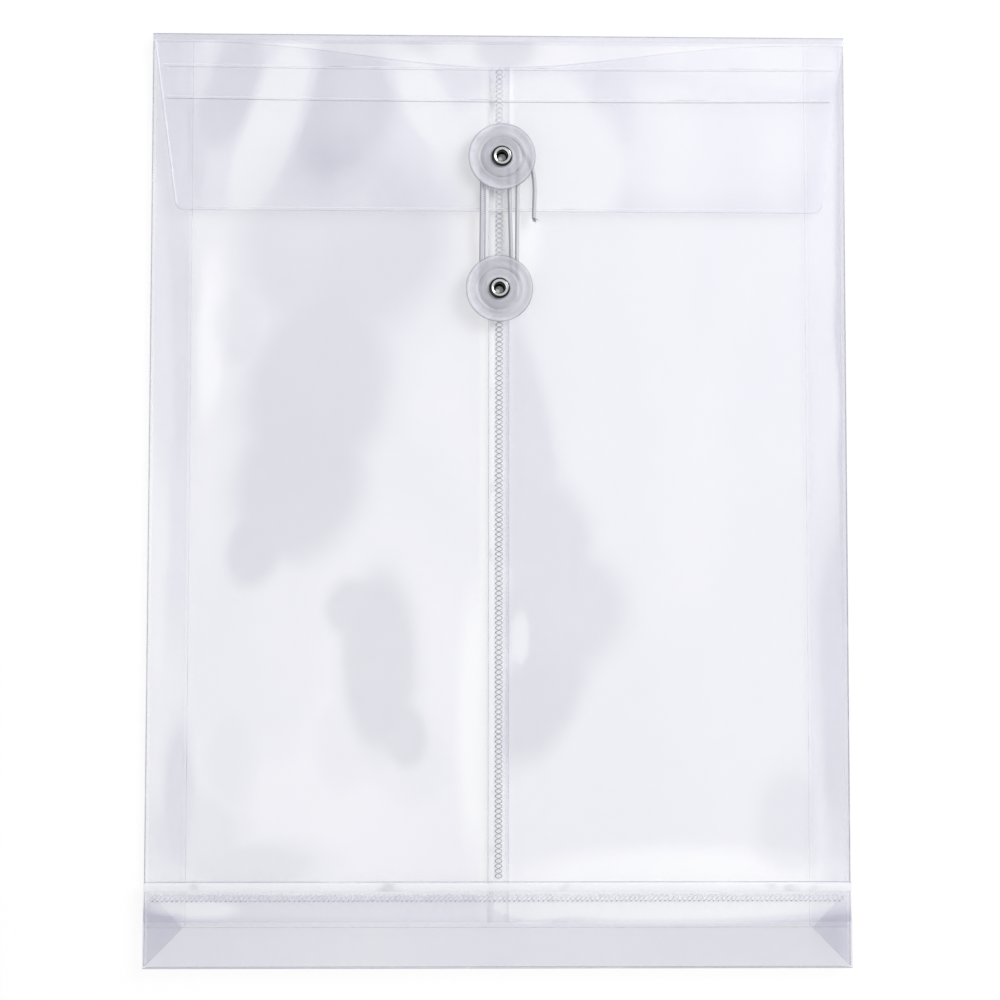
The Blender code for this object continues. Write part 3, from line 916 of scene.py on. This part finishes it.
class ENVELOPE_OT_stitching(bpy.types.Operator):
    """Sew the middle seam and the bottom"""

    bl_idname = "envelope.stitching"
    bl_label = "Stitching"

    def execute(self, context):
        look = envelope()
        hole_finish = thread_finish("needle_shadow", 0.5)
        radius = look.thread_diameter / 2
        for node, body, pitch, slant, share in (
            ("seam_thread_lower", "front", look.seam_pitch, 0.0, 1.0),
            # The upper seam's thread is paler, partly painted light that offsets the shade of the string
            # and the buttons over it
            ("seam_thread_upper", "front", look.seam_pitch, 0.0, 1.6),
            ("bottom_thread", "bottom", look.bottom_pitch, 0.30, 2.4),
        ):
            low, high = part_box(node)
            height = high.z - radius - CROSS_LIFT
            along_x = high.x - low.x > high.y - low.y
            start, end = (low.x, high.x) if along_x else (low.y, high.y)
            count = round((end - start) / pitch)
            step = (end - start) / count
            sewn = linked_stitches(start, step, count, look.stitch_swing, height, slant)
            holes = needle_holes(start, step, count, look.stitch_swing, low.z + HOLE_LIFT, slant)
            if along_x:
                y = (low.y + high.y) / 2
                sewn, holes = (
                    [[Vector((p.y, y + p.x, p.z)) for p in line] for line in lines]
                    for lines in (sewn, holes)
                )
            mesh = tube_mesh(node + "_sewn", sewn, radius, 1)
            finish = thread_finish(node + "_spun", share)
            new_piece(node + "_sewn", mesh, body, finish, [node])
            mesh = tube_mesh(node + "_holes", holes, radius * 1.3, 1)
            new_piece(node + "_holes", mesh, body, hole_finish)
        return {"FINISHED"}


# Buttons


# A disc's tone by distance from its centre, as a share of its reach: painted shade along its moulded rings
# and its rim, and a painted highlight ring
DISC_PAINTED_SHADING = (
    (0.0, 0.52), (0.31, 0.52), (0.36, 0.78), (0.44, 0.58), (0.57, 0.56),
    (0.615, 0.28), (0.66, 0.5), (0.8, 0.48), (0.86, 0.42), (0.9, 0.54),
    (0.955, 0.56), (0.985, 0.08), (1.0, 0.05),
)
DISC_REACH = 0.0119
DISC_BORE = 0.0025
DISC_LIP = 0.00012
# A disc's lower rim, from below: (distance in from the rim, height over the under face)
DISC_UNDER = ((0.0006, 0.0), (0.0002, 0.00008), (0.0, 0.0003))
# Its upper rim, from outside in: (distance in from the rim, depth below the top face)
DISC_RIM = ((0.0, 0.0003), (0.0002, 0.00007), (0.0006, 0.0), (0.0013, 0.00004), (0.0017, 0.00022))
# Its moulded rings, from outside in: (radius, depth below the top face)
DISC_RINGS = (
    (0.0088, 0.00026), (0.0085, 0.00010), (0.0081, 0.00010), (0.0078, 0.00026),
    (0.0069, 0.00024), (0.0066, 0.00004), (0.0060, 0.00002), (0.0044, 0.00012),
    (DISC_BORE + DISC_LIP, 0.00010), (DISC_BORE, 0.0002),
)
# How far the centre of the painted highlight crescent is moved from the disc's centre
CRESCENT_SHIFT = Vector((0.0030, 0.0006, 0))


def from_centre(finish, centre, reach):
    """How far a point is from an upright axis at centre, as a share of reach."""
    spot = finish.mapping("TEXTURE", place=(centre.x, centre.y, 0), scale=(reach, reach, 1.0))
    return finish.vector_maths("LENGTH", finish.vector_maths("MULTIPLY", spot, (1, 1, 0)))


def frosted_finish(name, centre, opacity):
    """Frosted plastic with painted shade at its moulded rings, a dark painted rim and a painted highlight
    crescent on its left.
    """
    disc = Finish(name)
    colour = envelope().disc_colour
    pale = scaled(colour, 1.45, 0.98)
    deep = scaled(colour, 0.50)
    rings = disc.ramp(from_centre(disc, centre, DISC_REACH), greys(DISC_PAINTED_SHADING))
    beyond = from_centre(disc, centre + CRESCENT_SHIFT, DISC_REACH)
    crescent = disc.range(beyond, 0.88, 0.98, 0.0, 0.20)
    cloud = disc.noise(220.0, detail=4.0, roughness=0.65)
    tone = disc.maths("ADD", rings, crescent)
    tone = disc.maths("ADD", tone, disc.range(cloud, 0.3, 0.7, -0.13, 0.13))
    disc.colour(disc.ramp(tone, ((0.0, deep), (0.5, colour), (1.0, pale))))
    disc.set(Alpha=opacity, IOR=1.47, Specular_IOR_Level=0.6)
    grain = disc.noise(2600.0, detail=3.0)
    return disc.done(
        disc.bump(grain, 0.25, 0.00006),
        disc.range(cloud, 0.3, 0.7, 0.30, 0.45),
    )


def disc_profile(radius, under, over):
    """A disc's cross-section as (radius, height) points, from its bore round the rim and back."""
    profile = [(DISC_BORE, under + DISC_LIP), (DISC_BORE + DISC_LIP, under)]
    profile += [(radius - inset, under + rise) for inset, rise in DISC_UNDER]
    profile += [(radius - inset, over - drop) for inset, drop in DISC_RIM]
    profile += [(ring, over - drop) for ring, drop in DISC_RINGS]
    return profile


class ENVELOPE_OT_buttons(bpy.types.Operator):
    """Mould the two frosted buttons with their rings and rims"""

    bl_idname = "envelope.buttons"
    bl_label = "Buttons"

    def execute(self, context):
        for side in ("upper", "lower"):
            node = f"{side}_button_disc"
            low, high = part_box(node)
            centre = middle(node)
            radius = (high.x - low.x) / 2
            finish = frosted_finish(f"frosted_{side}_disc", centre, envelope().disc_opacity)
            piece = turned(disc_profile(radius, low.z, high.z), centre)
            new_piece(f"{side}_disc_moulded", piece, f"{side}_disc", finish, [node])
            dress(f"{side}_button_neck", frosted_finish(f"frosted_{side}_neck", centre, 0.6))
        return {"FINISHED"}


# Eyelets


# An eyelet's painted reflections by distance from its centre: a bright rolled rim between dark rings
EYELET_PAINTED_REFLECTIONS = (
    (0.0, 0.3), (0.3, 0.22), (0.42, 0.0), (0.52, 0.0), (0.56, 1.0),
    (0.72, 1.0), (0.765, 0.0), (1.0, 0.0),
)
EYELET_REACH = 0.004
# Moves the painted reflections off the eyelet's centre, so the outer dark ring is wider at the lower left
EYELET_REFLECTION_SHIFT = Vector((0.00010, 0.00010, 0))
GLINT_REACH = 0.0013
GLINT_SHIFT = Vector((-0.0006, -0.0004, 0))
BARREL_RADIUS = 0.0022
CUP_RADIUS = 0.0019
RIM_RADIUS = 0.0037
FOOT_RADIUS = 0.0036
FOOT_THICKNESS = 0.0003
ROLL_HEIGHT = 0.0007
ROLL_LIFT = 0.0001
ROLL_TUCK = 0.0003
ROLL_STEPS = 12
ROLL_START = -25
ROLL_TURN = 205


def metal_finish(name, centre):
    """Plated metal with painted reflections: a bright rolled rim between dark rings, and a painted glint in
    the cup.
    """
    metal = Finish(name)
    colour = envelope().metal_colour
    dark = scaled(colour, 0.06)
    bright = scaled(colour, 1.6, 0.98)
    rings = metal.ramp(from_centre(metal, centre + EYELET_REFLECTION_SHIFT, EYELET_REACH), greys(EYELET_PAINTED_REFLECTIONS))
    spot = metal.range(from_centre(metal, centre + GLINT_SHIFT, GLINT_REACH), 0.25, 0.95, 0.9, 0.0)
    tone = metal.maths("MAXIMUM", rings, spot)
    metal.colour(metal.ramp(tone, ((0.0, dark), (0.5, colour), (1.0, bright))))
    metal.set(Metallic=1.0)
    scratch = metal.noise(1500.0, metal.mapping(scale=(1, 6, 1)), detail=3.0)
    return metal.done(
        metal.bump(scratch, 0.06, 0.00003),
        metal.range(scratch, 0.3, 0.7, 0.10, 0.22),
    )


def eyelet_profile(bottom, top):
    """An eyelet's cross-section as (radius, height) points: foot, barrel, rolled rim and cup."""
    seat = top - ROLL_HEIGHT
    roll = (RIM_RADIUS - CUP_RADIUS) / 2
    profile = [(0, bottom), (FOOT_RADIUS, bottom), (FOOT_RADIUS, bottom + FOOT_THICKNESS)]
    profile += [(BARREL_RADIUS, bottom + FOOT_THICKNESS), (BARREL_RADIUS, seat)]
    profile.append((RIM_RADIUS - ROLL_TUCK, seat))
    for step in range(ROLL_STEPS + 1):
        angle = math.radians(ROLL_START + ROLL_TURN * step / ROLL_STEPS)
        rise = (top - seat - ROLL_LIFT) * max(math.sin(angle), 0)
        profile.append((RIM_RADIUS - roll + roll * math.cos(angle), seat + ROLL_LIFT + rise))
    profile += [(CUP_RADIUS, seat - 0.0004), (CUP_RADIUS - 0.0001, bottom + 0.0009)]
    profile += [(CUP_RADIUS - 0.0004, bottom + 0.0005), (0, bottom + 0.0004)]
    return profile


class ENVELOPE_OT_eyelets(bpy.types.Operator):
    """Roll the two plated eyelets"""

    bl_idname = "envelope.eyelets"
    bl_label = "Eyelets"

    def execute(self, context):
        for side, body in (("upper", "flap"), ("lower", "front")):
            node = side + "_eyelet"
            low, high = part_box(node)
            centre = middle(node)
            finish = metal_finish(f"plated_{side}_eyelet", centre)
            piece = turned(eyelet_profile(low.z, high.z), centre, closed=False)
            new_piece(f"{side}_eyelet_rolled", piece, body, finish, [node])
        return {"FINISHED"}


# String


BRAID_PITCH = 0.00078
ROUTE_DIAMETER = 0.0012
STRING_PITCH = 0.0017
STRING_INNER_RADIUS = 0.0044
STRING_LOOPS = 2
STRAND_POINTS = 6
ARC_POINTS = 6
ANCHOR_ANGLE = math.radians(-60)
LEAVE_ANGLE = math.radians(32)
TAIL_ROUTE = (
    (0.0086, 0.0004), (0.0101, -0.0022), (0.011, -0.0048), (0.0115, -0.008),
    (0.0117, -0.0115), (0.0116, -0.015), (0.0115, -0.0185), (0.0114, -0.0218),
)
STRING_STEP = 0.0006
LAY_GAP = 0.0003
FRAY_FIBRES = 11
FRAY_TURN = 2.4
FRAY_RADIUS = 0.00012
FRAY_OVERLAP = 0.0004
# How light the string is along its length: its first and its last run are in shade
STRING_TONES = (
    (0.0, 0.61), (0.16, 0.61), (0.21, 0.86), (0.4, 0.86), (0.45, 0.67),
    (0.84, 0.67), (0.89, 0.62), (1.0, 0.62),
)


def spoke(angle, right, up):
    """The way out from a neck's axis at an angle."""
    return right * math.cos(angle) + up * math.sin(angle)


def winding_ways(upper, lower, right, up):
    """The string's turns round both necks: (point between the necks, way out from it), in order."""
    ways = []
    for loop in range(STRING_LOOPS):
        for centre, other, side, turn in ((lower, upper, -right, 0.0), (upper, lower, right, math.pi)):
            last = loop == STRING_LOOPS - 1 and centre is upper
            for step in range(ARC_POINTS):
                angle = turn - math.pi * step / ARC_POINTS
                if last and angle < LEAVE_ANGLE:
                    break
                ways.append((centre, spoke(angle, right, up)))
            if not last:
                ways += [(centre.lerp(other, n / STRAND_POINTS), side) for n in range(STRAND_POINTS)]
    ways.append((upper, spoke(LEAVE_ANGLE, right, up)))
    return ways


def string_route():
    """The string's middle line: out of the upper neck, twice round both, and the loose end."""
    diameter = ROUTE_DIAMETER
    upper, lower = middle("upper_button_neck"), middle("lower_button_neck")
    high, low = upper.z, lower.z
    upper, lower = upper.xy, lower.xy
    neck_low, neck_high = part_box("upper_button_neck")
    flap_low, flap_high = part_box("flap")
    disc_low, disc_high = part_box("lower_button_disc")
    start_y = flap_low.y - diameter
    end_y = lower.y + (disc_high.x - disc_low.x) / 4

    def height(y):
        share = min(max((start_y - y) / (start_y - end_y), 0), 1)
        return high + (low - high) * share * share * (3 - 2 * share)

    up = (upper - lower).normalized()
    right = Vector((up.y, -up.x))
    out = spoke(ANCHOR_ANGLE, right, up)
    start = upper + out * ((neck_high.x - neck_low.x) / 2 + LAY_GAP)
    route = [start, start + out * diameter]
    first = lower + right * STRING_INNER_RADIUS
    leaving = route[-1] - up * diameter
    for step in range(STRAND_POINTS):
        route.append(leaving.lerp(first, step / STRAND_POINTS) + out * diameter * 0.25)
    growth = STRING_PITCH / (2 * (STRAND_POINTS + ARC_POINTS))
    for n, (centre, way) in enumerate(winding_ways(upper, lower, right, up)):
        route.append(centre + way * (STRING_INNER_RADIUS + growth * n))
    along = right * math.sin(LEAVE_ANGLE) - up * math.cos(LEAVE_ANGLE)
    route.append(route[-1] + along * diameter)
    points = [Vector((p.x, p.y, height(p.y))) for p in route]
    rest = flap_high.z + LAY_GAP + diameter / 2
    last = points[-1]
    points.append(last + along.to_3d() * (diameter + LAY_GAP))
    for n, (x, y) in enumerate(TAIL_ROUTE):
        share = (n + 1) / len(TAIL_ROUTE)
        points.append(Vector((upper.x + x, upper.y + y, last.z + (rest - last.z) * share)))
    return points


def string_finish(length):
    """Soft braid of two crossing strands, with its pattern on the string's own UV map."""
    cord = Finish("braided_string")
    colour = envelope().string_colour
    pale = scaled(colour, 1.30, 0.97)
    deep = scaled(colour, 0.52)
    turns = length / BRAID_PITCH
    waves = []
    for way in (1.0, -1.0):
        spread = cord.split(cord.mapping(source="UV", scale=(turns, 2.0 * way, 1.0)))
        mixed = cord.maths("ADD", spread["X"], spread["Y"])
        waves.append(cord.maths("SINE", cord.maths("MULTIPLY", mixed, 2 * math.pi)))
    braid = cord.maths("MAXIMUM", waves[0], waves[1])
    height = cord.range(braid, -1.0, 1.0, 0.0, 1.0)
    # Painted shade along the string's length
    painted_shade = cord.ramp(cord.split(cord.place.outputs["UV"])["X"], greys(STRING_TONES))
    # The braid's grooves are painted in shade and its ridges in painted highlight
    woven = cord.ramp(height, ((0.15, deep), (0.55, colour), (0.95, pale)))
    cord.colour(cord.vector_maths("MULTIPLY", woven, painted_shade))
    cord.set(Sheen_Weight=0.3)
    fuzz = cord.noise(4200.0, detail=3.0)
    normal = cord.bump(height, 0.8, 0.00010)
    normal = cord.bump(fuzz, 0.35, 0.00006, normal)
    return cord.done(normal, cord.range(fuzz, 0.3, 0.7, 0.6, 0.85))


def frayed_fibres(line):
    """Fibres that spread from the end of a line, with every fourth one leaning out."""
    way = (line[-1] - line[-4]).normalized()
    fibres = []
    for n in range(FRAY_FIBRES):
        angle = FRAY_TURN * n
        spread = 0.00016 + 0.00004 * n
        side = Vector((math.cos(angle) * spread, 0, math.sin(angle) * spread * 0.6))
        run = way * (0.0013 + 0.00022 * (n % 4))
        lean = Vector((0.00055, 0.00030, 0)) if n % 4 == 3 else Vector((0.00010 * (n % 5), 0, 0))
        start = line[-1] - way * FRAY_OVERLAP + side
        fibres.append([start, start + run * 0.5 + side * 0.6 + lean, start + run + side * 1.6 + lean * 2.5])
    return fibres


class ENVELOPE_OT_string(bpy.types.Operator):
    """Wind the braided string and fray its loose end"""

    bl_idname = "envelope.string"
    bl_label = "String"

    def execute(self, context):
        diameter = envelope().string_diameter
        route = string_route()
        line, length = evenly(route, STRING_STEP)
        mesh = tube_mesh("string_braided", [line], diameter / 2, 3)
        finish = string_finish(length)
        nodes = ["string_winding", "string_tail"]
        cord = new_piece("string_braided", mesh, "flap", finish, nodes)
        fray = tube_mesh("string_fray", frayed_fibres(line), FRAY_RADIUS, 1)
        fringe = new_piece("string_fray", fray, "flap", thread_finish("frayed_string", 1.2))
        print(f"string length {length * 1000:.1f} mm")
        return {"FINISHED"}


# Stage


CAMERA_PLACE = (-0.02245, -0.06757, 0.9)
CAMERA_TURN = (0.07333, -0.02549, 0.00115)
CAMERA_LENS = 91.81
FLOOR_GAP = 0.0002
ROOM_LIGHT = 0.55
# Lamps: (name, place, size, power)
LAMPS = (
    ("key", (0.8, 0.55, 0.8), 0.6, 13.0),
    ("fill", (-0.9, -0.3, 1.0), 1.1, 2.5),
)


def pale_floor():
    """Pale floor that shows white to the camera and keeps a soft shadow."""
    floor = Finish("pale_floor")
    dust = floor.noise(3.0)
    pale = ((0.0, (0.90, 0.90, 0.91)), (1.0, (0.93, 0.93, 0.93)))
    floor.colour(floor.ramp(dust, pale))
    floor.set(Roughness=0.8, Specular_IOR_Level=0.1)
    nodes = floor.tree.nodes
    glow = nodes.new("ShaderNodeEmission")
    glow.inputs["Strength"].default_value = 1.02
    path = nodes.new("ShaderNodeLightPath")
    seen = floor.maths("MAXIMUM", path.outputs["Is Camera Ray"], path.outputs["Is Glossy Ray"])
    seen = floor.maths("MAXIMUM", seen, path.outputs["Is Transmission Ray"])
    mix = nodes.new("ShaderNodeMixShader")
    floor.link(floor.maths("MULTIPLY", seen, 0.80), mix.inputs[0])
    floor.link(floor.shader.outputs[0], mix.inputs[1])
    floor.link(glow.outputs[0], mix.inputs[2])
    floor.link(mix.outputs[0], nodes["Material Output"].inputs["Surface"])
    return floor.material


class ENVELOPE_OT_stage(bpy.types.Operator):
    """Set the floor, the lamps, the world and the camera"""

    bl_idname = "envelope.stage"
    bl_label = "Stage"

    def execute(self, context):
        scene = context.scene
        scene.view_settings.view_transform = "Standard"
        scene.cycles.transparent_max_bounces = 64
        lens = bpy.data.cameras.new("camera")
        lens.lens = CAMERA_LENS
        lens.sensor_width = 36.0
        lens.clip_start = 0.01
        camera = linked("camera", lens)
        camera.location = CAMERA_PLACE
        camera.rotation_euler = CAMERA_TURN
        scene.camera = camera
        bm = bmesh.new()
        bmesh.ops.create_grid(bm, x_segments=2, y_segments=2, size=3.0)
        mesh = mesh_from(bm)
        mesh.name = "floor"
        mesh.materials.append(pale_floor())
        floor = linked("floor", mesh)
        floor.location.z = CAD_BOX[0][2] - FLOOR_GAP
        for name, place, size, power in LAMPS:
            lamp = bpy.data.lights.new(name, "AREA")
            lamp.size = size
            lamp.energy = power
            light = linked(name, lamp)
            light.location = place
            light.rotation_euler = (-Vector(place)).to_track_quat("-Z", "Y").to_euler()
        world = bpy.data.worlds.new("soft_room")
        world.use_nodes = True
        scene.world = world
        sky = world.node_tree.nodes["Background"]
        sky.inputs["Color"].default_value = (1.0, 1.0, 1.0, 1.0)
        path = world.node_tree.nodes.new("ShaderNodeLightPath")
        level = world.node_tree.nodes.new("ShaderNodeMapRange")
        level.inputs["To Min"].default_value = ROOM_LIGHT
        level.inputs["To Max"].default_value = 1.0
        links = world.node_tree.links
        links.new(path.outputs["Is Camera Ray"], level.inputs["Value"])
        links.new(level.outputs["Result"], sky.inputs["Strength"])
        return {"FINISHED"}


class ENVELOPE_PT_sidebar(bpy.types.Panel):
    """Lists the envelope's settings and steps"""

    bl_idname = "ENVELOPE_PT_sidebar"
    bl_label = "String envelope"
    bl_space_type = "VIEW_3D"
    bl_region_type = "UI"
    bl_category = "Envelope"

    def draw(self, context):
        for name in EnvelopeSettings.__annotations__:
            self.layout.prop(context.scene.string_envelope, name)
        for step in OPERATORS:
            self.layout.operator(step.bl_idname)


OPERATORS = (
    ENVELOPE_OT_stage,
    ENVELOPE_OT_string,
    ENVELOPE_OT_film,
    ENVELOPE_OT_creases,
    ENVELOPE_OT_stitching,
    ENVELOPE_OT_buttons,
    ENVELOPE_OT_eyelets,
)


def register():
    for kind in (EnvelopeSettings, *OPERATORS, ENVELOPE_PT_sidebar):
        bpy.utils.register_class(kind)
    bpy.types.Scene.string_envelope = bpy.props.PointerProperty(type=EnvelopeSettings)


def unregister():
    del bpy.types.Scene.string_envelope
    for kind in (ENVELOPE_PT_sidebar, *reversed(OPERATORS), EnvelopeSettings):
        bpy.utils.unregister_class(kind)


def main():
    """Build the whole envelope."""
    register()
    bpy.ops.envelope.stage()
    bpy.ops.envelope.string()
    bpy.ops.envelope.film()
    bpy.ops.envelope.creases()
    bpy.ops.envelope.stitching()
    bpy.ops.envelope.buttons()
    bpy.ops.envelope.eyelets()


if __name__ == "__main__":
    main()
